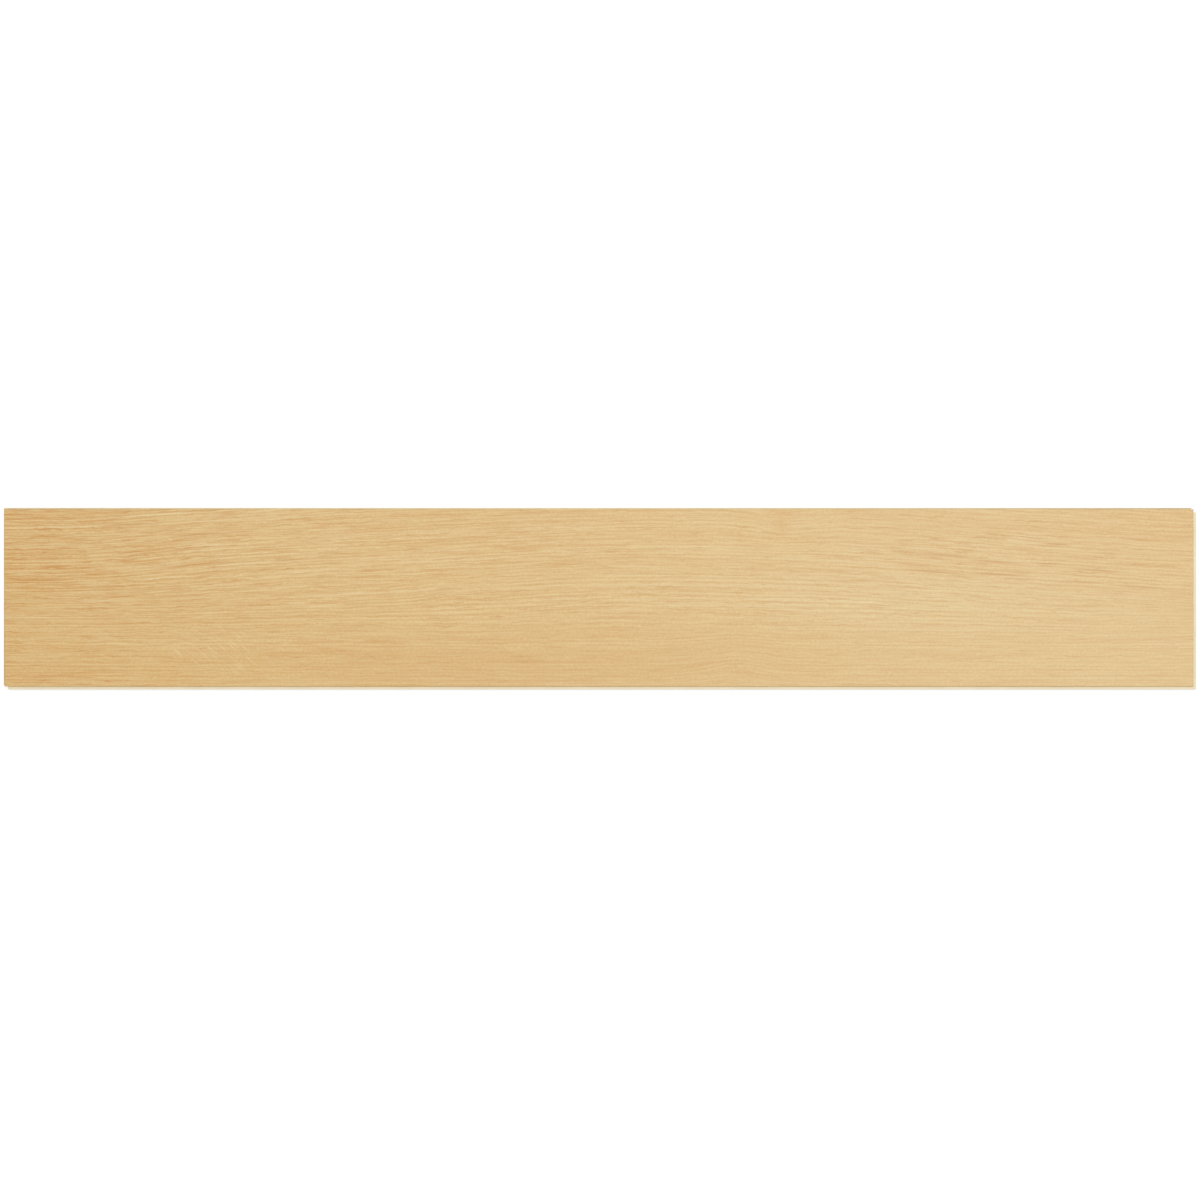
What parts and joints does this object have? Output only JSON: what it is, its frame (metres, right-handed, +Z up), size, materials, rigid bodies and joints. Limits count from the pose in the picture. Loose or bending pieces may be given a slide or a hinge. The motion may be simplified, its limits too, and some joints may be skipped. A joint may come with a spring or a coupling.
{
  "type": "vinyl floor plank",
  "caption": "Long flat wood-effect vinyl floor plank with bevelled face edges and a click joint all round: tongue on one side and end, groove with lower lip on the others.",
  "frame": {"origin": "centre of the underside, halfway between the joint planes of the two ends and of the two sides", "axes": "+X along the plank towards the end with the tongue, +Y across it towards the side with the groove, +Z up out of the wood-effect face"},
  "size_m": [1.2245, 0.1865, 0.005],
  "materials": {
    "vinyl": "satin"
  },
  "bodies": {
    "root": {"plank": "vinyl"}
  },
  "joints": []
}
